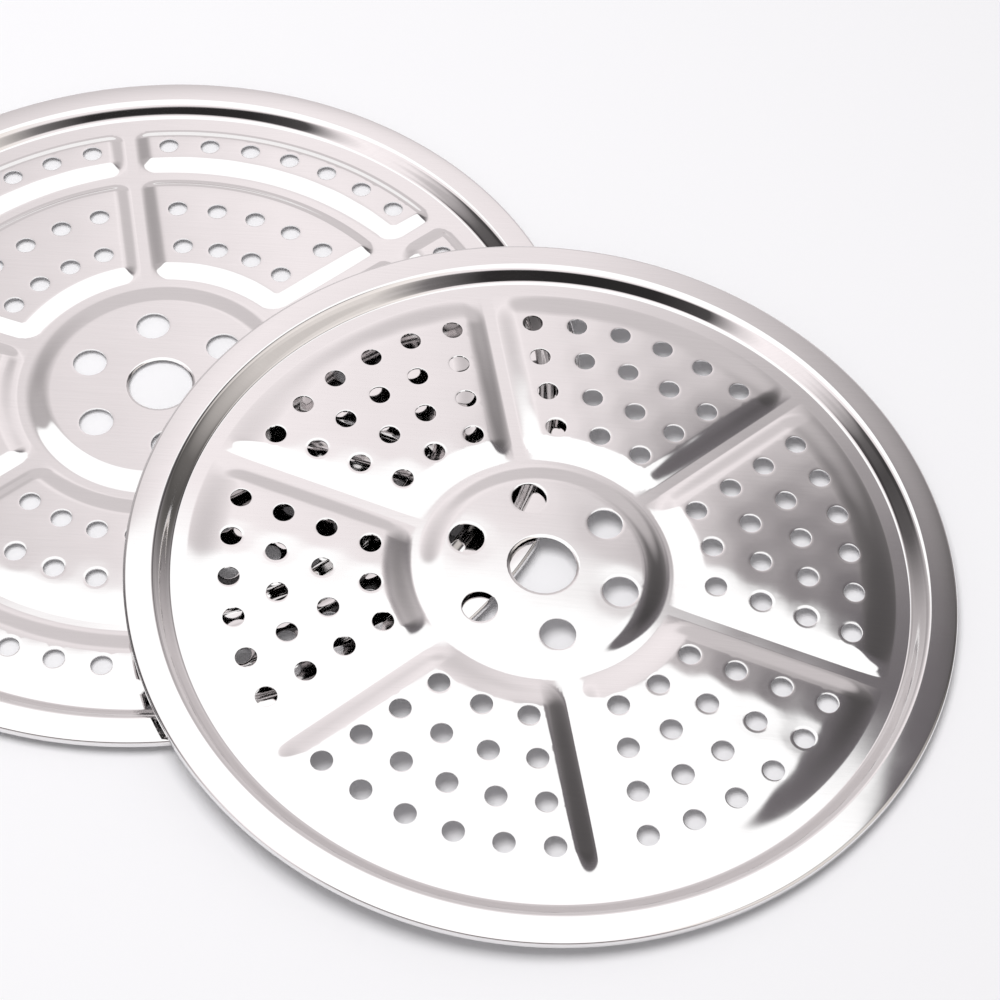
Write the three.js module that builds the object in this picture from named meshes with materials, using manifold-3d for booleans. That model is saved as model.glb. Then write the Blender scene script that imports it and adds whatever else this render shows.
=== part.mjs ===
// A pair of pressed steamer plates: a large one lying flat and a small one leaning on its rim.
// Millimetres, +Z up, origin under the middle of the pair's box.

import * as THREE from "three";
import * as BufferGeometryUtils from "three/addons/utils/BufferGeometryUtils.js";
import Module from "manifold-3d";

// Pressed sheet, the same on both plates.
const SHEET = 0.5;
const DISC_RISE = 1.1; // centre disc above the valleys
const STEP_RISE = 4.2; // rim flange above the valleys
const SECTORS = 6;

// Rim, from the outer edge inwards.
const FLANGE = 8;
const STEP_RUN = 5.5;
const EDGE_ROUND = 1; // radius of the turned-down outer edge
const EDGE_DROP = 2.2; // height of the turned-down edge
const EDGE_THICK = 0.9; // the edge is folded double

// Centre disc, from the finger hole outwards.
const FINGER_HOLE = 9.75;
const LIP_RUN = 1; // turned-down lip round the finger hole
const LIP_DROP = 0.35;
const VENT_RADIUS = 5.2;
const VENT_CIRCLE = 23.8;

// Steam holes: the end holes of every row keep one distance from the valley's middle line.
const HOLE_RADIUS = 3.15;
const HOLE_MARGIN = 12.7;

// Plates, from the centre outwards: the disc's slope, a ring valley, panels that rise from the valleys by
// panelRise, and an outer valley. The ramps are the lengths of the slopes at a panel's inner edge, straight
// sides and outer edge. ribHalf is half the width of the straight valleys between the panels.
const LARGE = {
  radius: 130,
  ribAngle: 42.9,
  discTop: 33.5,
  discFoot: 41.5,
  ringValley: 2,
  outerValley: 5.5,
  panelRise: 1.4,
  innerRamp: 7.6,
  sideRamp: 5.6,
  outerRamp: 3.8,
  ribHalf: 1.6,
  midValley: 89.5,
  midHalf: 1.5,
};
const SMALL = {
  radius: 120.7,
  ribAngle: 42.0,
  discTop: 29.3,
  discFoot: 37,
  ringValley: 1.5,
  outerValley: 4.2,
  panelRise: 1.3,
  innerRamp: 8.8,
  sideRamp: 7,
  outerRamp: 6,
  ribHalf: 1.5,
};

// Each panel has rows of holes on circles that step outwards, one hole more in every row.
const largeInner = { inner: panelStart(LARGE), outer: LARGE.midValley - LARGE.midHalf };
const largeOuter = { inner: LARGE.midValley + LARGE.midHalf, outer: valleyEnd(LARGE) };
const smallPanel = { inner: panelStart(SMALL), outer: valleyEnd(SMALL) };
LARGE.panels = [
  { ...largeInner, firstRow: 57.5, pitch: 16.5, rows: 2, holes: 4 },
  { ...largeOuter, firstRow: 103, pitch: 0, rows: 1, holes: 7 },
];
SMALL.panels = [{ ...smallPanel, firstRow: 50.5, pitch: 13.4, rows: 4, holes: 3 }];

// Where the small plate leans: its centre seen from the large plate's centre.
const SMALL_OFFSET = new THREE.Vector2(119.7, -63.5);
const CLEARANCE = 0.3;

// Facets
const COLUMNS = 8; // columns of facets in one sector
const HOLE_SIDES = 8;
const STEP_STOPS = [0, 0.15, 0.45, 0.7, 1];

const sectorAngle = (2 * Math.PI) / SECTORS;
const rimTop = SHEET + STEP_RISE;
const stepShift = SHEET * Math.tan(Math.atan(STEP_RISE / STEP_RUN) / 2); // keeps the step one sheet thick
const wasm = await Module();
wasm.setup();

/** Radius where the rim's step starts to rise. */
function stepFoot(plate) {
  return plate.radius - FLANGE - STEP_RUN;
}

/** Radius where the innermost panel's slope rises from the ring valley. */
function panelStart(plate) {
  return plate.discFoot + plate.ringValley;
}

/** Radius where the outermost panel's slope ends in the outer valley. */
function valleyEnd(plate) {
  return stepFoot(plate) - plate.outerValley;
}

/** Share of the step's rise at a share of its run: a tight bend at the foot and a wide one at the top. */
function stepEase(share) {
  return share ** 2 * (6 - 8 * share + 3 * share ** 2);
}

/** Upper line of the sheet's section, from the finger hole to the rim, as [radius, height] pairs. */
function upperSection(plate) {
  const discHeight = SHEET + DISC_RISE;
  const line = [
    [FINGER_HOLE, discHeight - LIP_DROP],
    [FINGER_HOLE + LIP_RUN, discHeight],
    [plate.discTop, discHeight],
    [plate.discFoot, SHEET],
  ];
  for (const panel of plate.panels) {
    line.push([panel.inner, SHEET], [panel.inner + plate.innerRamp, SHEET]);
    line.push([panel.outer - plate.outerRamp, SHEET], [panel.outer, SHEET]);
  }
  for (const stop of STEP_STOPS) {
    line.push([stepFoot(plate) + STEP_RUN * stop, SHEET + STEP_RISE * stepEase(stop)]);
  }
  return line;
}

/** Closed section of a plate: upper line, turned-down edge, lower line one sheet below. */
function section(plate) {
  const upper = upperSection(plate);
  const lower = upper.map(([radius, height]) => {
    const shift = radius >= stepFoot(plate) ? stepShift : 0;
    return [radius + shift, height - SHEET];
  });
  const round = EDGE_ROUND * (1 - Math.SQRT1_2);
  const edge = [
    [plate.radius - EDGE_ROUND, rimTop],
    [plate.radius - round, rimTop - round],
    [plate.radius, rimTop - EDGE_ROUND],
    [plate.radius, rimTop - EDGE_DROP],
    [plate.radius - EDGE_THICK, rimTop - EDGE_DROP],
    [plate.radius - EDGE_THICK, rimTop - SHEET],
  ];
  const loop = [...upper, ...edge, ...lower.reverse(), upper[0]];
  return loop.map(([radius, height]) => new THREE.Vector2(radius, height)).reverse();
}

/** Raise the panels of a turned plate and bring its columns of facets onto the panels' straight sides. */
function pressPanels(geometry, plate) {
  const position = geometry.attributes.position;
  const slack = 0.01;
  const half = COLUMNS / 2;
  for (let i = 0; i < position.count; i += 1) {
    const radius = Math.hypot(position.getX(i), position.getY(i));
    const panel = plate.panels.find(({ inner, outer }) => radius > inner - slack && radius < outer + slack);
    if (!panel) continue;
    const turn = Math.atan2(position.getY(i), position.getX(i));
    const column = Math.round((turn / sectorAngle) * COLUMNS);
    const rib = Math.round(column / COLUMNS);
    const fromRib = column - rib * COLUMNS;
    const count = Math.abs(fromRib);
    const foot = Math.asin(plate.ribHalf / radius);
    const top = Math.asin((plate.ribHalf + plate.sideRamp) / radius);
    let angle = count * foot;
    if (count >= 2) {
      angle = THREE.MathUtils.lerp(top, sectorAngle / 2, (count - 2) / (half - 2));
    }
    const placed = rib * sectorAngle + Math.sign(fromRib) * angle;
    const fromInner = (radius - panel.inner) / plate.innerRamp;
    const fromOuter = (panel.outer - radius) / plate.outerRamp;
    const share = THREE.MathUtils.clamp(Math.min(fromInner, fromOuter), 0, 1);
    const rise = count >= 2 ? plate.panelRise * share : 0;
    const height = position.getZ(i) + rise;
    position.setXYZ(i, radius * Math.cos(placed), radius * Math.sin(placed), height);
  }
}

/** Places of every round hole of a plate, as { radius, x, y }. */
function holePlaces(plate) {
  const places = [];
  for (let sector = 0; sector < SECTORS; sector += 1) {
    const rib = sector * sectorAngle;
    const add = (radius, circle, angle) => {
      places.push({ radius, x: circle * Math.cos(angle), y: circle * Math.sin(angle) });
    };
    add(VENT_RADIUS, VENT_CIRCLE, rib);
    for (const panel of plate.panels) {
      for (let row = 0; row < panel.rows; row += 1) {
        const circle = panel.firstRow + panel.pitch * row;
        const count = panel.holes + row;
        const first = Math.asin(HOLE_MARGIN / circle);
        const step = (sectorAngle - 2 * first) / (count - 1);
        for (let hole = 0; hole < count; hole += 1) {
          add(HOLE_RADIUS, circle, rib + first + step * hole);
        }
      }
    }
  }
  return places;
}

/** Punches for all holes of a plate as one geometry. */
function punches(plate) {
  const height = 4 * rimTop;
  const pins = holePlaces(plate).map(({ radius, x, y }) => {
    const pin = new THREE.CylinderGeometry(radius, radius, height, HOLE_SIDES);
    pin.rotateX(Math.PI / 2);
    pin.translate(x, y, 0);
    return pin;
  });
  return BufferGeometryUtils.mergeGeometries(pins);
}

/** Solid made of a closed geometry, with its shared vertices merged. */
function solid(geometry) {
  geometry.deleteAttribute("normal");
  geometry.deleteAttribute("uv");
  const merged = BufferGeometryUtils.mergeVertices(geometry);
  const vertProperties = new Float32Array(merged.attributes.position.array);
  const triVerts = new Uint32Array(merged.index.array);
  return new wasm.Manifold(new wasm.Mesh({ numProp: 3, vertProperties, triVerts }));
}

/** One pressed and punched plate, flat on its valleys, with a valley along +X. */
function plateGeometry(plate) {
  const turned = new THREE.LatheGeometry(section(plate), SECTORS * COLUMNS);
  turned.rotateX(Math.PI / 2);
  pressPanels(turned, plate);
  const cut = solid(turned).subtract(solid(punches(plate))).getMesh();
  const geometry = new THREE.BufferGeometry();
  geometry.setAttribute("position", new THREE.BufferAttribute(cut.vertProperties, 3));
  geometry.setIndex(new THREE.BufferAttribute(cut.triVerts, 1));
  geometry.computeVertexNormals();
  return geometry;
}

/** A named plate in polished stainless steel. */
function plateMesh(name, plate) {
  const steel = new THREE.MeshStandardMaterial({ color: 0xd8d6d6, metalness: 1, roughness: 0.15 });
  const mesh = new THREE.Mesh(plateGeometry(plate), steel);
  mesh.name = name;
  return mesh;
}

const largePlate = plateMesh("large_steamer_plate", LARGE);
largePlate.rotation.z = THREE.MathUtils.degToRad(LARGE.ribAngle);

// The small plate's ring valley lies on the large plate's rim, and its far side reaches the floor.
const smallPlate = plateMesh("small_steamer_plate", SMALL);
const centreGap = SMALL_OFFSET.length();
const leanHeading = SMALL_OFFSET.angle();
const restRadius = LARGE.radius - EDGE_ROUND;
const restBehind = (centreGap ** 2 + panelStart(SMALL) ** 2 - restRadius ** 2) / (2 * centreGap);
const soleRadius = stepFoot(SMALL) + stepShift;
const lean = Math.atan((rimTop + CLEARANCE) / (soleRadius + restBehind));
const leaning = new THREE.Group();
leaning.rotation.set(0, lean, leanHeading, "ZYX");
leaning.position.set(SMALL_OFFSET.x, SMALL_OFFSET.y, soleRadius * Math.sin(lean));
smallPlate.rotation.z = THREE.MathUtils.degToRad(SMALL.ribAngle) - leanHeading;
leaning.add(smallPlate);

const plates = new THREE.Group();
plates.add(largePlate, leaning);
plates.updateMatrixWorld(true);
const middle = new THREE.Box3().setFromObject(plates, true).getCenter(new THREE.Vector3());
plates.position.set(-middle.x, -middle.y, 0);

export default plates;
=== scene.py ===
"""Two pressed stainless steel steamer plates, the small one leaning on the large one's rim.

The plates are modelled in millimetres, flat on their valleys with a valley along +X, and are then laid
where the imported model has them, in metres.
"""

import logging
import math
from dataclasses import dataclass
from enum import Enum

import bmesh
import bpy
import numpy as np
from mathutils import Matrix, Vector
from mathutils.geometry import delaunay_2d_cdt


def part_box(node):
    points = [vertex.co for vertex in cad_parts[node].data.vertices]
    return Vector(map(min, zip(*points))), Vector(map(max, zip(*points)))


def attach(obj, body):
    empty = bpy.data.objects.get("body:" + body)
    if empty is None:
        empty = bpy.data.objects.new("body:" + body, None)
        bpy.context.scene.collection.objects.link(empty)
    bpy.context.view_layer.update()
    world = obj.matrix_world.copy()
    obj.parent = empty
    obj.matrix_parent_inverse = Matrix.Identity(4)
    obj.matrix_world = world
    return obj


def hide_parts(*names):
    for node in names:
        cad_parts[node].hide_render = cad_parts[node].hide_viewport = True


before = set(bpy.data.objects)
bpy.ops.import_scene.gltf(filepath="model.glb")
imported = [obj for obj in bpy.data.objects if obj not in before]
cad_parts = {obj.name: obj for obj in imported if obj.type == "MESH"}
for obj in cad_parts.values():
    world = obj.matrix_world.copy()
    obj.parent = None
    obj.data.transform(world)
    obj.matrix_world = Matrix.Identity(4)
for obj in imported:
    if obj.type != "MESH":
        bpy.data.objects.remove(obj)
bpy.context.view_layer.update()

log = logging.getLogger("steamer_plates")
MM = 0.001


class PlateName(Enum):
    """The two plates of the set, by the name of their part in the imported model."""

    LARGE = "large"
    SMALL = "small"

    @property
    def node(self) -> str:
        """Name of the plate's solid."""
        return f"{self.value}_steamer_plate"

    @property
    def body(self) -> str:
        """Name of the moving body that the plate belongs to."""
        return f"{self.value}_plate"

    @property
    def piece(self) -> str:
        """Name of the finished plate."""
        return f"{self.value}_pressed_plate"


class Ray(Enum):
    """Kinds of rays that the studio answers in its own way."""

    CAMERA = "Is Camera Ray"
    GLOSSY = "Is Glossy Ray"


@dataclass(frozen=True)
class Pressing:
    """Sizes of the pressed sheet that both plates share, in millimetres.

    The edge inset keeps the round rim inside the box of the solid's rim, which has flat sides. Round each
    hole the sheet dips a little, and its edge is rolled down. The step's evenness is a share.
    """

    sheet: float = 0.5
    disc_rise: float = 1.1
    step_rise: float = 4.2
    flange: float = 8.0
    flange_fall: float = 0.15
    step_run: float = 5.5
    step_evenness: float = 0.6
    edge_round: float = 1.0
    edge_drop: float = 2.2
    edge_inset: float = 0.2
    finger_hole: float = 9.75
    lip_run: float = 1.0
    lip_drop: float = 0.35
    vent_radius: float = 5.2
    vent_circle: float = 23.8
    hole_radius: float = 3.15
    hole_margin: float = 12.7
    punch_dip: float = 0.026
    punch_dip_run: float = 3.0
    punch_roll: float = 0.025
    punch_roll_run: float = 0.2
    sectors: int = 6

    @property
    def rim_top(self) -> float:
        """Height of the rim flange above the sole."""
        return self.sheet + self.step_rise

    @property
    def sector(self) -> float:
        """Angle from one valley to the next."""
        return 2 * math.pi / self.sectors

    def step_share(self, share: float) -> float:
        """Share of the step's rise, with a slightly tighter bend at the foot than at the top.

        Args:
            share: Place along the step's run, from 0 to 1.

        Returns:
            The share of the rise at that place.
        """
        early = share * share * (6.0 - 8.0 * share + 3.0 * share * share)
        even = share * share * (3.0 - 2.0 * share)
        return (1.0 - self.step_evenness) * early + self.step_evenness * even


@dataclass(frozen=True)
class Relief:
    """How one plate's centre disc and panels rise from the valleys, in millimetres.

    The crown is the share of a panel's rise that goes into its doming.
    """

    disc_top: float
    disc_foot: float
    panel_rise: float
    inner_ramp: float
    side_ramp: float
    outer_ramp: float
    rib_half: float
    crown: float
    crown_run: float


@dataclass(frozen=True)
class Ripple:
    """Slight unevenness of a real pressing: a short and a long wave, in millimetres."""

    height: float = 0.016
    short_x: float = 6.1
    short_y: float = 7.3
    shift_x: float = 0.7
    shift_y: float = 0.2
    long_sum: float = 10.7
    long_difference: float = 9.1
    long_share: float = 0.6

    def rise(self, x: np.ndarray, y: np.ndarray) -> np.ndarray:
        """Rise of the sheet, nowhere below 0.

        Args:
            x: Places along X.
            y: Places along Y.

        Returns:
            Rise of the sheet at each place.
        """
        short = np.sin(x / self.short_x + self.shift_x) * np.sin(y / self.short_y + self.shift_y)
        long = np.sin((x + y) / self.long_sum) * np.sin((x - y) / self.long_difference)
        return self.height * (1.0 + self.long_share + short + self.long_share * long)


@dataclass(frozen=True)
class PanelRing:
    """A ring of raised panels with rows of steam holes, one hole more in every row."""

    inner: float
    outer: float
    first_row: float
    pitch: float
    rows: int
    holes: int


@dataclass(frozen=True)
class RoundHole:
    """A punched hole in a plate."""

    x: float
    y: float
    radius: float


@dataclass(frozen=True)
class EdgeLoop:
    """A round edge of the perforated field, and the rings that are drawn out from it."""

    radius: float
    height: float
    stops: list[tuple[float, float]]


@dataclass(frozen=True)
class Facets:
    """Spacing of the points that carry a plate's surface, in millimetres.

    The spacing grows from the ramps' to the flats' with the distance from a ramp. The rings of points
    round a hole lie on its rolled edge, at shares of the roll's run, and a little outside it, where they
    need fewer points. The plate's own rings keep clear of them.
    """

    ramp: float = 0.7
    flat: float = 2.1
    growth: float = 0.3
    rim_points: int = 360
    hole_points: int = 32
    vent_points: int = 48
    roll_rings: tuple[float, float] = (0.5, 1.5)
    outside: float = 1.0
    outside_share: float = 0.75
    clear: float = 1.5
    step_stops: int = 18
    flange_stops: int = 4
    round_stops: int = 6
    lip_stops: int = 3
    probe: float = 0.01
    merge: float = 1e-5
    smooth_angle: float = 50.0


def smooth_step(share: np.ndarray) -> np.ndarray:
    """Ease from 0 to 1 with level ends.

    Args:
        share: Values along the ease, cut to the range from 0 to 1.

    Returns:
        The eased values.
    """
    cut = np.clip(share, 0.0, 1.0)
    return cut * cut * (3.0 - 2.0 * cut)


def deselect_all() -> None:
    """Leave no object selected."""
    bpy.ops.object.select_all(action="DESELECT")


@dataclass
class SteamerPlate:
    """One pressed and punched plate."""

    name: PlateName
    radius: float
    rib_angle: float
    panels: list[PanelRing]
    relief: Relief
    pressing: Pressing
    ripple: Ripple
    facets: Facets

    @property
    def step_foot(self) -> float:
        """Radius where the rim's step starts to rise."""
        return self.radius - self.pressing.flange - self.pressing.step_run

    def holes(self) -> list[RoundHole]:
        """Places of the vents and steam holes.

        Returns:
            Every round hole of the plate apart from the finger hole.
        """
        press = self.pressing
        found: list[RoundHole] = []

        def punch(radius: float, circle: float, angle: float) -> None:
            """Add one hole on a circle round the centre."""
            found.append(RoundHole(circle * math.cos(angle), circle * math.sin(angle), radius))

        for index in range(press.sectors):
            rib = index * press.sector
            punch(press.vent_radius, press.vent_circle, rib)
            for panel in self.panels:
                for row in range(panel.rows):
                    circle = panel.first_row + panel.pitch * row
                    count = panel.holes + row
                    first = math.asin(press.hole_margin / circle)
                    step = (press.sector - 2 * first) / (count - 1)
                    for hole in range(count):
                        punch(press.hole_radius, circle, rib + first + step * hole)
        return found

    def panel_share(self, x: np.ndarray, y: np.ndarray) -> np.ndarray:
        """How far the panels are pressed up, from 0 in the valleys to 1 in a panel's middle.

        Args:
            x: Places along X.
            y: Places along Y.

        Returns:
            The share of the panel rise at each place.
        """
        relief = self.relief
        sector = self.pressing.sector
        radius = np.hypot(x, y)
        turn = np.mod(np.arctan2(y, x), sector)
        from_rib = np.minimum(turn, sector - turn)
        lateral = np.maximum(radius * np.sin(from_rib) - relief.rib_half, 0)
        share = np.zeros_like(radius)
        for panel in self.panels:
            inner = np.maximum(radius - panel.inner, 0)
            outer = np.maximum(panel.outer - radius, 0)
            slopes = np.minimum(inner / relief.inner_ramp, outer / relief.outer_ramp)
            sides = lateral / relief.side_ramp
            eased = smooth_step(1 - np.hypot(np.maximum(1 - sides, 0), np.maximum(1 - slopes, 0)))
            domed = 1.0
            for away in (lateral, inner, outer):
                domed = domed * (1 - np.exp(-away / relief.crown_run))
            share = np.maximum(share, (1 - relief.crown) * eased + relief.crown * domed)
        return share

    def height(self, x: np.ndarray, y: np.ndarray) -> np.ndarray:
        """Height of the sheet's upper face between the finger hole and the rim's step.

        Args:
            x: Places along X.
            y: Places along Y.

        Returns:
            Height above the sole at each place.
        """
        press = self.pressing
        radius = np.hypot(x, y)
        relief = self.relief
        disc = 1 - smooth_step((radius - relief.disc_top) / (relief.disc_foot - relief.disc_top))
        top = press.sheet + press.disc_rise * disc + relief.panel_rise * self.panel_share(x, y)
        for hole in self.holes():
            rim = np.maximum(np.hypot(x - hole.x, y - hole.y) - hole.radius, -press.punch_roll_run)
            top -= press.punch_dip * np.exp(-((rim / press.punch_dip_run) ** 2))
            top -= press.punch_roll * np.exp(-rim / press.punch_roll_run)
        return top

    def ring_radii(self) -> list[float]:
        """Radii of the rings of points, close together on slopes and wider apart on flats.

        Returns:
            Radii from the finger hole's lip to the foot of the rim's step.
        """
        press = self.pressing
        relief = self.relief
        ramps = [(relief.disc_top, relief.disc_foot)]
        for panel in self.panels:
            ramps.append((panel.inner, panel.inner + relief.inner_ramp))
            ramps.append((panel.outer - relief.outer_ramp, panel.outer))
        radius = press.finger_hole + press.lip_run
        radii = [radius]
        while radius < self.step_foot:
            away = min(max(low - radius, radius - high, 0) for low, high in ramps)
            spacing = min(self.facets.ramp + self.facets.growth * away, self.facets.flat)
            radius += spacing
            radii.append(radius)
        stretch = (self.step_foot - radii[0]) / (radii[-1] - radii[0])
        return [radii[0] + (value - radii[0]) * stretch for value in radii]

    def ring_angles(self, radius: float) -> np.ndarray:
        """Angles of the points on one ring, in line with the straight sides of the panels.

        Args:
            radius: The ring's radius.

        Returns:
            Angles all the way round.
        """
        press = self.pressing
        crosses = any(panel.inner < radius < panel.outer for panel in self.panels)
        if not crosses:
            count = max(round(2 * math.pi * radius / self.facets.flat), self.facets.hole_points)
            if radius > self.step_foot - self.facets.ramp:
                count = self.facets.rim_points
            return np.arange(count) * (2 * math.pi / count)
        half = radius * press.sector / 2
        top = self.relief.rib_half + self.relief.side_ramp
        arcs = [0.0]
        offset = 0.0
        while True:
            offset += min(self.facets.ramp + self.facets.growth * max(offset - top, 0), self.facets.flat)
            arc = radius * math.asin(min(offset / radius, 1))
            if offset > press.hole_margin or arc > half - self.facets.flat:
                break
            arcs.append(arc)
        gaps = max(round(2 * (half - arcs[-1]) / self.facets.flat), 1)
        middle = np.linspace(arcs[-1], 2 * half - arcs[-1], gaps + 1)[1:-1]
        one = np.concatenate([arcs, middle, 2 * half - np.array(arcs[:0:-1])]) / radius
        return np.concatenate([one + index * press.sector for index in range(press.sectors)])

    def field_points(self) -> tuple[np.ndarray, list[tuple[int, int]]]:
        """Points of the perforated field and the edges that must stay in it.

        Returns:
            The points in the plane, and the edges of its holes, outlines and rings.
        """
        radii = self.ring_radii()
        holes = self.holes()
        edges: list[tuple[int, int]] = []
        kept: list[np.ndarray] = []
        count = 0

        def close(points: np.ndarray) -> None:
            """Keep a closed loop of points with its edges.

            Args:
                points: The loop's points, in order.
            """
            nonlocal count
            total = len(points)
            edges.extend((count + i, count + (i + 1) % total) for i in range(total))
            kept.append(points)
            count += total

        def circle(x: float, y: float, radius: float, angles: np.ndarray) -> np.ndarray:
            """Points on a circle."""
            return np.stack([x + radius * np.cos(angles), y + radius * np.sin(angles)], 1)

        close(circle(0, 0, radii[0], self.ring_angles(radii[0])))
        close(circle(0, 0, radii[-1], self.ring_angles(radii[-1])))
        rings = [(part * self.pressing.punch_roll_run, 1.0) for part in (0.0, *self.facets.roll_rings)]
        rings.append((self.facets.outside, self.facets.outside_share))
        for hole in holes:
            vent = hole.radius > self.pressing.hole_radius
            points = self.facets.vent_points if vent else self.facets.hole_points
            for step, share in rings:
                total = int(points * share)
                angles = np.arange(total) * (2 * math.pi / total)
                ring = circle(hole.x, hole.y, hole.radius + step, angles)
                if step == 0.0:
                    close(ring)
                else:
                    kept.append(ring)
                    count += total
        for radius in radii[1:-1]:
            ring = circle(0, 0, radius, self.ring_angles(radius))
            free = np.ones(len(ring), bool)
            for hole in holes:
                away = np.hypot(ring[:, 0] - hole.x, ring[:, 1] - hole.y)
                free &= away > hole.radius + self.facets.clear
            index = np.full(len(ring), -1)
            index[free] = count + np.arange(int(free.sum()))
            follow = np.roll(index, -1)
            linked = (index >= 0) & (follow >= 0)
            edges.extend(zip(index[linked].tolist(), follow[linked].tolist()))
            kept.append(ring[free])
            count += int(free.sum())
        return np.concatenate(kept), edges

    def field(self) -> bpy.types.Object:
        """Mesh of the perforated field, pressed into shape.

        The finger hole, vents and steam holes are left open. The points lie along the slopes and round
        the holes, so that the mirror finish shows no facets.

        Returns:
            The field as an object of its own.
        """
        points, edges = self.field_points()
        flat = [Vector(point) for point in points]
        result = delaunay_2d_cdt(flat, edges, [], 0, self.facets.merge)
        plane = np.array([(point.x, point.y) for point in result[0]])
        faces = np.array([face for face in result[2] if len(face) == 3])
        centres = plane[faces].mean(1)
        keep = np.hypot(centres[:, 0], centres[:, 1]) > self.pressing.finger_hole + self.pressing.lip_run
        for hole in self.holes():
            keep &= np.hypot(centres[:, 0] - hole.x, centres[:, 1] - hole.y) > hole.radius
        heights = self.height(plane[:, 0], plane[:, 1])
        mesh = bpy.data.meshes.new(self.name.piece)
        mesh.from_pydata(np.column_stack([plane, heights]).tolist(), [], faces[keep].tolist())
        mesh.validate()
        plate = bpy.data.objects.new(self.name.piece, mesh)
        bpy.context.scene.collection.objects.link(plate)
        return plate

    def rim_stops(self) -> list[tuple[float, float]]:
        """Section of the rim, from the step's foot to the folded edge.

        Returns:
            Radius and height of each ring.
        """
        press = self.pressing
        facets = self.facets
        stops = []
        for share in np.linspace(0, 1, facets.step_stops + 1)[1:]:
            rise = press.step_rise * press.step_share(share)
            stops.append((self.step_foot + press.step_run * share, press.sheet + rise))
        edge = self.radius - press.edge_inset
        flat_end = edge - press.edge_round
        flat_start = stops[-1][0]
        for share in np.linspace(0, 1, facets.flange_stops + 1)[1:]:
            radius = flat_start + (flat_end - flat_start) * share
            stops.append((radius, press.rim_top - press.flange_fall * share**2))
        edge_top = stops[-1][1]
        for angle in np.linspace(0, math.pi / 2, facets.round_stops + 1)[1:]:
            radius = flat_end + press.edge_round * math.sin(angle)
            stops.append((radius, edge_top - press.edge_round * (1 - math.cos(angle))))
        stops.append((edge, press.rim_top - press.edge_drop))
        return stops

    def extrude_loop(self, loop: EdgeLoop) -> None:
        """Extrude a round boundary of the plate that is being edited, ring by ring.

        Args:
            loop: The boundary and the rings that follow it.
        """
        bpy.ops.mesh.select_all(action="DESELECT")
        mesh = bmesh.from_edit_mesh(bpy.context.edit_object.data)
        for edge in mesh.edges:
            ends = [math.hypot(vert.co.x, vert.co.y) for vert in edge.verts]
            if edge.is_boundary and all(abs(end - loop.radius) < self.facets.probe for end in ends):
                edge.select = True
        bmesh.update_edit_mesh(bpy.context.edit_object.data)
        radius = loop.radius
        height = loop.height
        for next_radius, next_height in loop.stops:
            lift = (0.0, 0.0, next_height - height)
            bpy.ops.mesh.extrude_edges_move(TRANSFORM_OT_translate={"value": lift})
            scale = next_radius / radius
            bpy.ops.transform.resize(value=(scale, scale, 1.0), center_override=(0.0, 0.0, 0.0))
            radius = next_radius
            height = next_height

    def loops(self) -> list[EdgeLoop]:
        """The two round edges that are drawn out from the perforated field.

        Returns:
            The rim, and the lip of the finger hole.
        """
        press = self.pressing
        disc_top = press.sheet + press.disc_rise
        lip = []
        for share in np.linspace(0, 1, self.facets.lip_stops + 1)[1:]:
            radius = press.finger_hole + press.lip_run * (1 - share)
            lip.append((radius, disc_top - press.lip_drop * share**2))
        rim = EdgeLoop(self.step_foot, press.sheet, self.rim_stops())
        return [rim, EdgeLoop(press.finger_hole + press.lip_run, disc_top, lip)]

    def settle(self, plate: bpy.types.Object, field_count: int) -> np.ndarray:
        """Lay the ripple over the sheet and work out the exact direction of its upper face.

        Args:
            plate: The plate, still a single sheet, flat on its sole.
            field_count: How many of its points belong to the perforated field.

        Returns:
            The upper face's direction at every point of the sheet.
        """
        points = np.empty(len(plate.data.vertices) * 3)
        plate.data.vertices.foreach_get("co", points)
        points = points.reshape(-1, 3)
        x = points[:, 0]
        y = points[:, 1]
        step = self.facets.probe

        def sheet(east: np.ndarray, north: np.ndarray) -> np.ndarray:
            """Height of the pressed and rippled field."""
            return self.height(east, north) + self.ripple.rise(east, north)

        normals = np.ones_like(points)
        normals[:, 0] = (sheet(x - step, y) - sheet(x + step, y)) / (2 * step)
        normals[:, 1] = (sheet(x, y - step) - sheet(x, y + step)) / (2 * step)
        radius = np.hypot(x, y)
        drawn = np.arange(len(points)) >= field_count
        for loop in self.loops():
            section = np.array([(loop.radius, loop.height), *loop.stops])
            way = np.sign(section[-1, 0] - loop.radius)
            tangents = np.gradient(section, axis=0) * way
            for (ring, level), (run, rise) in zip(section[1:], tangents[1:]):
                near = drawn & (np.hypot(radius - ring, points[:, 2] - level) < step)
                normals[near, :2] = points[near, :2] / radius[near, None] * -rise
                normals[near, 2] = run
        points[:, 2] += self.ripple.rise(x, y)
        plate.data.vertices.foreach_set("co", points.ravel())
        return normals / np.linalg.norm(normals, axis=1)[:, None]

    def smooth(self, plate: bpy.types.Object, normals: np.ndarray, turn: Matrix) -> None:
        """Shade the finished sheet with the exact direction of its faces.

        Args:
            plate: The plate with its wall thickness, in its place.
            normals: Direction of the upper face at every point of the single sheet.
            turn: The plate's placement.
        """
        bpy.ops.object.shade_smooth_by_angle(angle=math.radians(self.facets.smooth_angle))
        mesh = plate.data
        turned = normals @ np.array(turn.to_3x3().normalized()).T
        both = np.concatenate([turned, -turned])
        corner = np.empty(len(mesh.loops), int)
        mesh.loops.foreach_get("vertex_index", corner)
        sizes = np.empty(len(mesh.polygons), int)
        mesh.polygons.foreach_get("loop_total", sizes)
        owner = np.repeat(np.arange(len(sizes)), sizes)
        upper = np.bincount(owner, corner < len(normals)) / sizes
        shaded = both[corner]
        shaded[~np.isin(upper[owner], (0.0, 1.0))] = 0.0
        mesh.normals_split_custom_set(shaded.tolist())

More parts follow.
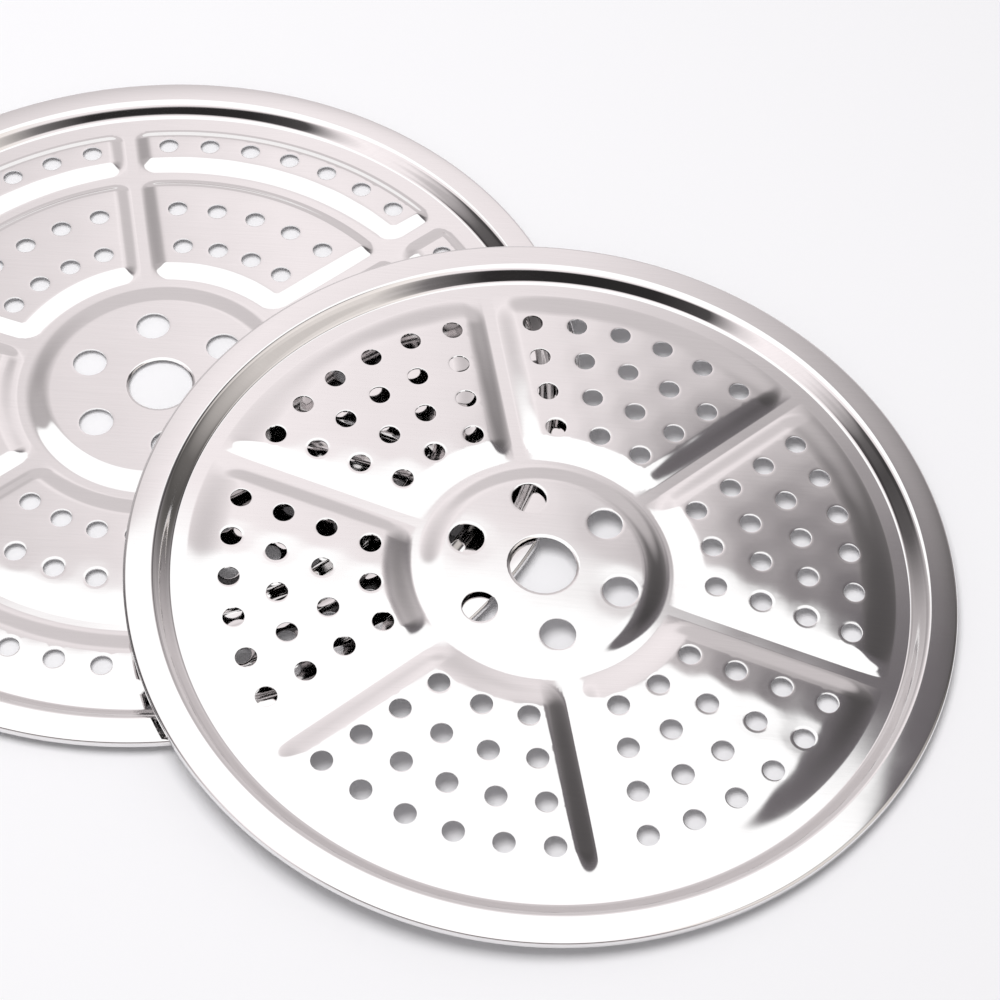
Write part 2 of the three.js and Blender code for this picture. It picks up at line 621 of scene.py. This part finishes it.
    def placement(self, lean: "Lean") -> Matrix:
        """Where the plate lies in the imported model.

        Args:
            lean: How the small plate rests on the large one.

        Returns:
            Matrix from the plate's own millimetres to the model's metres.
        """
        low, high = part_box(PlateName.LARGE.node)
        centre = Matrix.Translation(((low.x + high.x) / 2, (low.y + high.y) / 2, 0.0))
        turn = Matrix.Rotation(math.radians(self.rib_angle), 4, "Z")
        scale = Matrix.Scale(MM, 4)
        if self.name is PlateName.LARGE:
            return centre @ scale @ turn
        return centre @ scale @ lean.matrix() @ turn

    def build(self, lean: "Lean", steel: bpy.types.Material) -> bpy.types.Object:
        """Model the plate and lay it in its place.

        Args:
            lean: How the small plate rests on the large one.
            steel: The plate's finish.

        Returns:
            The finished plate.
        """
        deselect_all()
        plate = self.field()
        field_count = len(plate.data.vertices)
        plate.select_set(True)
        bpy.context.view_layer.objects.active = plate
        bpy.ops.object.mode_set(mode="EDIT")
        bpy.ops.mesh.select_mode(type="EDGE")
        for loop in self.loops():
            self.extrude_loop(loop)
        bpy.ops.mesh.select_all(action="SELECT")
        bpy.ops.mesh.normals_make_consistent(inside=False)
        bpy.ops.object.mode_set(mode="OBJECT")
        self.face_up(plate)
        normals = self.settle(plate, field_count)
        bpy.ops.object.modifier_add(type="SOLIDIFY")
        wall = plate.modifiers[-1]
        wall.thickness = self.pressing.sheet
        wall.offset = -1.0
        bpy.ops.object.modifier_apply(modifier=wall.name)
        turn = self.placement(lean)
        plate.data.transform(turn)
        self.smooth(plate, normals, turn)
        plate.data.materials.append(steel)
        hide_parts(self.name.node)
        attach(plate, self.name.body)
        deselect_all()
        return plate

    def face_up(self, plate: bpy.types.Object) -> None:
        """Turn the sheet's faces so that its upper side is the outside.

        Args:
            plate: The plate, still a single sheet.
        """
        upward = sum(face.normal.z * face.area for face in plate.data.polygons)
        if upward < 0:
            plate.data.flip_normals()


@dataclass(frozen=True)
class Lean:
    """How the small plate leans: its ring valley on the large plate's rim, its far side on the floor."""

    offset: tuple[float, float]
    clearance: float
    large_radius: float
    small_step_foot: float
    small_panel_start: float
    pressing: Pressing

    def matrix(self) -> Matrix:
        """Work out the small plate's place, seen from the large plate's centre.

        Returns:
            Matrix in millimetres.
        """
        press = self.pressing
        gap = math.hypot(*self.offset)
        heading = math.atan2(self.offset[1], self.offset[0])
        rest = self.large_radius - press.edge_round
        behind = (gap**2 + self.small_panel_start**2 - rest**2) / (2 * gap)
        slope = math.atan(press.step_rise / press.step_run)
        sole = self.small_step_foot + press.sheet * math.tan(slope / 2)
        tilt = math.atan((press.rim_top + self.clearance) / (sole + behind))
        move = Matrix.Translation((*self.offset, sole * math.sin(tilt)))
        turn = Matrix.Rotation(heading, 4, "Z")
        return move @ turn @ Matrix.Rotation(tilt, 4, "Y") @ turn.inverted()


@dataclass(frozen=True)
class PolishedSteel:
    """Mirror-polished stainless steel with faint rolling marks and haze."""

    colour: tuple[float, float, float] = (0.86, 0.85, 0.85)
    haze_low: float = 0.035
    haze_high: float = 0.10
    haze_scale: float = 38.0
    haze_detail: float = 6.0
    haze_clear: float = 0.3
    haze_full: float = 0.75
    marks_turn: float = 28.0
    marks_scale: tuple[float, float, float] = (60.0, 2600.0, 400.0)
    marks_detail: float = 3.0
    marks_dark: float = 0.94
    marks_light: float = 1.02

    def material(self) -> bpy.types.Material:
        """Build the finish.

        Returns:
            The steel's material.
        """
        steel = bpy.data.materials.new("polished_steel")
        steel.use_nodes = True
        nodes = steel.node_tree.nodes
        links = steel.node_tree.links
        shader = nodes["Principled BSDF"]
        shader.inputs["Metallic"].default_value = 1.0
        place = nodes.new("ShaderNodeTexCoord")
        haze = nodes.new("ShaderNodeTexNoise")
        haze.inputs["Scale"].default_value = self.haze_scale
        haze.inputs["Detail"].default_value = self.haze_detail
        links.new(place.outputs["Object"], haze.inputs["Vector"])
        rough = nodes.new("ShaderNodeMapRange")
        rough.inputs["From Min"].default_value = self.haze_clear
        rough.inputs["From Max"].default_value = self.haze_full
        rough.inputs["To Min"].default_value = self.haze_low
        rough.inputs["To Max"].default_value = self.haze_high
        links.new(haze.outputs["Fac"], rough.inputs["Value"])
        links.new(rough.outputs["Result"], shader.inputs["Roughness"])
        stretch = nodes.new("ShaderNodeMapping")
        stretch.inputs["Rotation"].default_value = (0.0, 0.0, math.radians(self.marks_turn))
        stretch.inputs["Scale"].default_value = self.marks_scale
        links.new(place.outputs["Object"], stretch.inputs["Vector"])
        marks = nodes.new("ShaderNodeTexNoise")
        marks.inputs["Scale"].default_value = 1.0
        marks.inputs["Detail"].default_value = self.marks_detail
        links.new(stretch.outputs["Vector"], marks.inputs["Vector"])
        tint = nodes.new("ShaderNodeMapRange")
        tint.inputs["To Min"].default_value = self.marks_dark
        tint.inputs["To Max"].default_value = self.marks_light
        links.new(marks.outputs["Fac"], tint.inputs["Value"])
        shade = nodes.new("ShaderNodeMix")
        shade.data_type = "RGBA"
        shade.blend_type = "MULTIPLY"
        shade.inputs["Factor"].default_value = 1.0
        shade.inputs["A"].default_value = (*self.colour, 1.0)
        links.new(tint.outputs["Result"], shade.inputs["B"])
        links.new(shade.outputs["Result"], shader.inputs["Base Color"])
        return steel


@dataclass(frozen=True)
class PhotoCamera:
    """Camera at the photograph's place, seen from the large plate's centre in millimetres."""

    place: tuple[float, float, float] = (106.21, -454.12, 559.28)
    elevation: float = 53.253
    roll: float = 3.017
    focal_pixels: float = 2335.65
    image_pixels: float = 1000.0
    sensor: float = 36.0

    def build(self) -> bpy.types.Object:
        """Add the camera and make it the scene's own.

        Returns:
            The camera.
        """
        data = bpy.data.cameras.new("photo_camera")
        data.sensor_width = self.sensor
        data.sensor_fit = "HORIZONTAL"
        data.lens = self.sensor * self.focal_pixels / self.image_pixels
        camera = bpy.data.objects.new("photo_camera", data)
        bpy.context.scene.collection.objects.link(camera)
        low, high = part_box(PlateName.LARGE.node)
        centre = Vector(((low.x + high.x) / 2, (low.y + high.y) / 2, 0.0))
        tip = Matrix.Rotation(math.radians(90 - self.elevation), 4, "X")
        roll = Matrix.Rotation(math.radians(self.roll), 4, "Z")
        camera.matrix_world = Matrix.Translation(centre + Vector(self.place) * MM) @ tip @ roll
        bpy.context.scene.camera = camera
        return camera


class NodeSum:
    """Short way to write sums with shader nodes."""

    def __init__(self, tree: bpy.types.NodeTree) -> None:
        """Work in one node tree.

        Args:
            tree: The tree that gets the nodes.
        """
        self.tree = tree

    def math(self, operation: str, *values: object) -> bpy.types.NodeSocket:
        """Add a math node.

        Args:
            operation: The node's operation.
            values: Sockets or plain numbers, in order.

        Returns:
            The node's result.
        """
        node = self.tree.nodes.new("ShaderNodeMath")
        node.operation = operation
        for slot, value in zip(node.inputs, values):
            self.feed(slot, value)
        return node.outputs["Value"]

    def ease(self, value: object, low: float, high: float) -> bpy.types.NodeSocket:
        """Ease from 0 at low to 1 at high.

        Args:
            value: Socket or number to ease.
            low: Where the ease is 0.
            high: Where the ease is 1.

        Returns:
            The eased value.
        """
        node = self.tree.nodes.new("ShaderNodeMapRange")
        node.interpolation_type = "SMOOTHSTEP"
        self.feed(node.inputs["Value"], value)
        node.inputs["From Min"].default_value = low
        node.inputs["From Max"].default_value = high
        return node.outputs["Result"]

    def mix(self, share: object, first: object, second: object) -> bpy.types.NodeSocket:
        """Mix two colours.

        Args:
            share: How much of the second colour shows.
            first: Socket or colour.
            second: Socket or colour.

        Returns:
            The mixed colour.
        """
        node = self.tree.nodes.new("ShaderNodeMix")
        node.data_type = "RGBA"
        self.feed(node.inputs["Factor"], share)
        self.feed(node.inputs["A"], first)
        self.feed(node.inputs["B"], second)
        return node.outputs["Result"]

    def ramp(
        self, value: bpy.types.NodeSocket, stops: list[tuple[float, tuple[float, float, float]]]
    ) -> bpy.types.NodeSocket:
        """Look up a colour along a row of stops.

        Args:
            value: Place along the row, from 0 to 1.
            stops: Place and colour of each stop.

        Returns:
            The colour.
        """
        node = self.tree.nodes.new("ShaderNodeValToRGB")
        row = node.color_ramp.elements
        for stop in stops[2:]:
            row.new(stop[0])
        for element, (place, colour) in zip(row, stops):
            element.position = place
            element.color = (*colour, 1.0)
        self.feed(node.inputs["Fac"], value)
        return node.outputs["Color"]

    def feed(self, slot: bpy.types.NodeSocket, value: object) -> None:
        """Link a socket or set a plain value.

        Args:
            slot: The input to fill.
            value: A socket, a number or a colour.
        """
        if isinstance(value, bpy.types.NodeSocket):
            self.tree.links.new(value, slot)
        elif isinstance(value, tuple):
            slot.default_value = (*value, 1.0)
        else:
            slot.default_value = value


@dataclass(frozen=True)
class Wall:
    """Brightness of the room in one heading, in degrees to the right of straight ahead.

    It has three levels: high up, low down, and in a skirt just above the table.
    """

    heading: float
    high: float
    low: float
    tint: tuple[float, float, float]
    skirt: float = 0.72

    def stop(self, level: float) -> tuple[float, tuple[float, float, float]]:
        """Place of the heading in a row of colours, and its colour at a level of light.

        Args:
            level: How bright the room is.

        Returns:
            The place from 0 to 1, and the colour.
        """
        return self.heading / 360 + 0.5, tuple(level * part for part in self.tint)


@dataclass(frozen=True)
class Studio:
    """White table under a rounded overhead softbox, with a dark room behind the camera and to the right.

    The softbox and the shade beside it are places on a level plane one unit above the plates. The levels
    of the walls and the start of the room's back are parts of a direction of length 1. The table and the
    lamp are in metres and watts.
    """

    floor_colour: tuple[float, float, float] = (0.93, 0.92, 0.94)
    background: tuple[float, float, float] = (0.915, 0.905, 0.935)
    softbox: tuple[float, float, float] = (1.25, 1.25, 1.25)
    shade_colour: tuple[float, float, float] = (0.17, 0.156, 0.166)
    cool: tuple[float, float, float] = (1.0, 0.935, 0.945)
    warm: tuple[float, float, float] = (1.0, 0.94, 0.90)
    ambient: float = 0.44
    floor_glow: float = 0.05
    box_middle: tuple[float, float] = (-0.18, -0.045)
    box_half: tuple[float, float] = (0.54, 0.705)
    box_corner: float = 0.34
    box_edge: float = 0.014
    shade_start: float = 0.03
    shade_end: float = 0.21
    shade_left: float = 0.08
    shade_right: float = 0.32
    wall_top: float = 0.69
    wall_foot: float = 0.60
    wall_back: float = 0.045
    back_start: float = 0.2
    back_end: float = 0.45
    skirt_top: float = 0.45
    skirt_foot: float = 0.38
    horizon: float = 0.05
    floor_near: float = 0.45
    floor_far: float = 1.6
    floor_radius: float = 8.0
    floor_sides: int = 64
    floor_gap: float = 0.0001
    floor_roughness: float = 0.6
    floor_shine: float = 0.2
    lamp_place: tuple[float, float, float] = (-0.25, 0.1, 1.4)
    lamp_size: float = 1.0
    lamp_energy: float = 13.9

    def walls(self) -> list[Wall]:
        """The room, from behind the camera round by the left to behind it again.

        Returns:
            Brightness of the room in each heading.
        """
        return [
            Wall(-180.0, 1.05, 0.025, self.cool),
            Wall(-157.0, 1.05, 0.03, self.cool),
            Wall(-142.0, 1.05, 0.08, self.cool),
            Wall(-133.0, 1.1, 0.85, self.cool),
            Wall(-126.0, 1.1, 1.15, self.cool),
            Wall(-112.0, 1.1, 1.05, self.cool),
            Wall(-101.0, 1.08, 0.6, self.cool, 0.5),
            Wall(-92.0, 1.05, 0.1, self.cool, 0.14),
            Wall(-82.0, 1.0, 0.05, self.cool, 0.08),
            Wall(-67.0, 0.85, 0.08, self.cool, 0.12),
            Wall(-52.0, 0.55, 0.42, self.cool, 0.5),
            Wall(-37.0, 0.52, 0.46, self.cool),
            Wall(-22.0, 0.82, 0.72, self.cool),
            Wall(-7.0, 1.05, 0.74, self.cool),
            Wall(7.0, 0.95, 0.7, self.cool),
            Wall(22.0, 0.45, 0.66, self.cool),
            Wall(30.0, 0.18, 0.54, self.cool),
            Wall(37.0, 0.11, 0.45, self.cool),
            Wall(52.0, 0.065, 0.22, self.cool, 0.25),
            Wall(57.0, 0.16, 0.15, self.warm, 0.15),
            Wall(62.0, 0.58, 0.1, self.warm, 0.1),
            Wall(72.0, 0.75, 0.16, self.warm, 0.16),
            Wall(82.0, 0.9, 0.45, self.warm, 0.45),
            Wall(97.0, 0.98, 0.78, self.warm),
            Wall(112.0, 1.0, 0.88, self.warm),
            Wall(127.0, 1.05, 0.85, self.warm),
            Wall(142.0, 1.05, 0.2, self.cool),
            Wall(157.0, 1.05, 0.03, self.cool),
            Wall(180.0, 1.05, 0.025, self.cool),
        ]

    def build(self) -> None:
        """Set up the floor, the world and the lamp."""
        scene = bpy.context.scene
        scene.view_settings.view_transform = "Standard"
        self.floor()
        self.world()
        self.lamp()

    def floor(self) -> bpy.types.Object:
        """Add the table.

        Returns:
            The floor's object.
        """
        deselect_all()
        bpy.ops.mesh.primitive_circle_add(
            vertices=self.floor_sides,
            radius=self.floor_radius,
            fill_type="NGON",
            location=(0.0, 0.0, -self.floor_gap),
        )
        floor = bpy.context.object
        floor.name = "table"
        paint = bpy.data.materials.new("table_white")
        paint.use_nodes = True
        shader = paint.node_tree.nodes["Principled BSDF"]
        shader.inputs["Base Color"].default_value = (*self.floor_colour, 1.0)
        shader.inputs["Roughness"].default_value = self.floor_roughness
        shader.inputs["Specular IOR Level"].default_value = self.floor_shine
        self.glow(paint.node_tree, shader)
        floor.data.materials.append(paint)
        return floor

    def glow(self, tree: bpy.types.NodeTree, shader: bpy.types.Node) -> None:
        """Lift the table's shadows a little and let the table run out into the background.

        Args:
            tree: The node tree of the table's paint.
            shader: The paint's own shader.
        """
        sums = NodeSum(tree)
        path = tree.nodes.new("ShaderNodeLightPath")
        seen = sums.math("MAXIMUM", path.outputs[Ray.CAMERA.value], path.outputs[Ray.GLOSSY.value])
        place = tree.nodes.new("ShaderNodeTexCoord")
        reach = tree.nodes.new("ShaderNodeVectorMath")
        reach.operation = "LENGTH"
        tree.links.new(place.outputs["Object"], reach.inputs[0])
        away = sums.ease(reach.outputs["Value"], self.floor_near, self.floor_far)
        share = sums.math("MAXIMUM", away, self.floor_glow)
        light = tree.nodes.new("ShaderNodeEmission")
        light.inputs["Color"].default_value = (*self.background, 1.0)
        mix = tree.nodes.new("ShaderNodeMixShader")
        tree.links.new(sums.math("MULTIPLY", seen, share), mix.inputs["Fac"])
        tree.links.new(shader.outputs["BSDF"], mix.inputs[1])
        tree.links.new(light.outputs["Emission"], mix.inputs[2])
        tree.links.new(mix.outputs["Shader"], tree.nodes["Material Output"].inputs["Surface"])

    def lamp(self) -> bpy.types.Object:
        """Add the softbox's lamp, which lights the table. The steel mirrors the world's softbox instead.

        Returns:
            The lamp's object.
        """
        data = bpy.data.lights.new("overhead_softbox", "AREA")
        data.shape = "DISK"
        data.size = self.lamp_size
        data.energy = self.lamp_energy
        lamp = bpy.data.objects.new("overhead_softbox", data)
        lamp.location = self.lamp_place
        lamp.rotation_euler = (-lamp.location).to_track_quat("-Z", "Y").to_euler()
        lamp.visible_glossy = False
        bpy.context.scene.collection.objects.link(lamp)
        return lamp

    def world(self) -> None:
        """Paint the room that the steel mirrors."""
        world = bpy.data.worlds.new("studio")
        bpy.context.scene.world = world
        world.use_nodes = True
        tree = world.node_tree
        tree.nodes.clear()
        sums = NodeSum(tree)
        place = tree.nodes.new("ShaderNodeTexCoord")
        split = tree.nodes.new("ShaderNodeSeparateXYZ")
        tree.links.new(place.outputs["Generated"], split.inputs["Vector"])
        x, y, z = (split.outputs[axis] for axis in "XYZ")
        room = self.room(sums, x, y, z)
        path = tree.nodes.new("ShaderNodeLightPath")
        plain = sums.mix(path.outputs[Ray.CAMERA.value], (self.ambient,) * 3, self.background)
        colour = sums.mix(path.outputs[Ray.GLOSSY.value], plain, room)
        back = tree.nodes.new("ShaderNodeBackground")
        tree.links.new(colour, back.inputs["Color"])
        out = tree.nodes.new("ShaderNodeOutputWorld")
        tree.links.new(back.outputs["Background"], out.inputs["Surface"])

    def room(
        self,
        sums: NodeSum,
        x: bpy.types.NodeSocket,
        y: bpy.types.NodeSocket,
        z: bpy.types.NodeSocket,
    ) -> bpy.types.NodeSocket:
        """Colour of the room in a direction.

        Args:
            sums: Helper for the world's nodes.
            x: The direction's part to the right.
            y: The direction's part away from the camera.
            z: The direction's part upwards.

        Returns:
            The room's colour.
        """
        heading = sums.math("ARCTAN2", x, y)
        turn = sums.math("ADD", sums.math("DIVIDE", heading, 2 * math.pi), 0.5)
        high = sums.ramp(turn, [wall.stop(wall.high) for wall in self.walls()])
        low = sums.ramp(turn, [wall.stop(wall.low) for wall in self.walls()])
        skirt = sums.ramp(turn, [wall.stop(wall.skirt) for wall in self.walls()])
        behind = sums.ease(sums.math("MULTIPLY", y, -1.0), self.back_start, self.back_end)
        level = sums.math("SUBTRACT", z, sums.math("MULTIPLY", behind, self.wall_back))
        wall = sums.mix(sums.ease(level, self.wall_foot, self.wall_top), low, high)
        wall = sums.mix(sums.ease(z, self.skirt_foot, self.skirt_top), skirt, wall)
        up = sums.math("MAXIMUM", z, self.horizon)
        across = sums.math("DIVIDE", x, up)
        along = sums.math("DIVIDE", y, up)
        sides = []
        for part, middle, half in zip((across, along), self.box_middle, self.box_half):
            away = sums.math("ABSOLUTE", sums.math("SUBTRACT", part, middle))
            past = sums.math("MAXIMUM", sums.math("SUBTRACT", away, half - self.box_corner), 0.0)
            sides.append(sums.math("POWER", past, 2.0))
        reach = sums.math("SUBTRACT", sums.math("SQRT", sums.math("ADD", *sides)), self.box_corner)
        shade = sums.math("SUBTRACT", 1.0, sums.ease(reach, self.shade_start, self.shade_end))
        right = sums.ease(across, self.shade_left, self.shade_right)
        ahead = sums.ease(along, -self.shade_left, self.shade_left)
        shade = sums.math("MULTIPLY", shade, sums.math("MULTIPLY", right, ahead))
        wall = sums.mix(shade, wall, self.shade_colour)
        box = sums.math("SUBTRACT", 1.0, sums.ease(reach, -self.box_edge, self.box_edge))
        return sums.mix(box, wall, self.softbox)


def main() -> None:
    """Build the plates and the studio in order."""
    logging.basicConfig(level=logging.INFO)
    press = Pressing()
    facets = Facets()
    ripple = Ripple()
    large_relief = Relief(
        disc_top=33.5,
        disc_foot=41.5,
        panel_rise=1.4,
        inner_ramp=7.6,
        side_ramp=5.6,
        outer_ramp=3.8,
        rib_half=1.6,
        crown=0.3,
        crown_run=6.0,
    )
    small_relief = Relief(
        disc_top=29.3,
        disc_foot=37.0,
        panel_rise=1.3,
        inner_ramp=8.8,
        side_ramp=7.0,
        outer_ramp=11.0,
        rib_half=1.5,
        crown=0.45,
        crown_run=6.5,
    )
    large_panels = [
        PanelRing(inner=43.5, outer=88.0, first_row=57.5, pitch=16.5, rows=2, holes=4),
        PanelRing(inner=91.0, outer=111.0, first_row=103.0, pitch=0.0, rows=1, holes=7),
    ]
    small_panels = [PanelRing(inner=38.5, outer=103.0, first_row=50.5, pitch=13.4, rows=4, holes=3)]
    large = SteamerPlate(
        name=PlateName.LARGE,
        radius=130.0,
        rib_angle=42.9,
        panels=large_panels,
        relief=large_relief,
        pressing=press,
        ripple=ripple,
        facets=facets,
    )
    small = SteamerPlate(
        name=PlateName.SMALL,
        radius=120.7,
        rib_angle=42.0,
        panels=small_panels,
        relief=small_relief,
        pressing=press,
        ripple=ripple,
        facets=facets,
    )
    lean = Lean(
        offset=(119.7, -63.5),
        clearance=0.3,
        large_radius=large.radius,
        small_step_foot=small.step_foot,
        small_panel_start=small_panels[0].inner,
        pressing=press,
    )
    steel = PolishedSteel().material()
    for plate in (large, small):
        piece = plate.build(lean, steel)
        log.info("%s: %d faces", piece.name, len(piece.data.polygons))
    Studio().build()
    camera = PhotoCamera().build()
    log.info("camera lens %.1f mm", camera.data.lens)


if __name__ == "__main__":
    main()
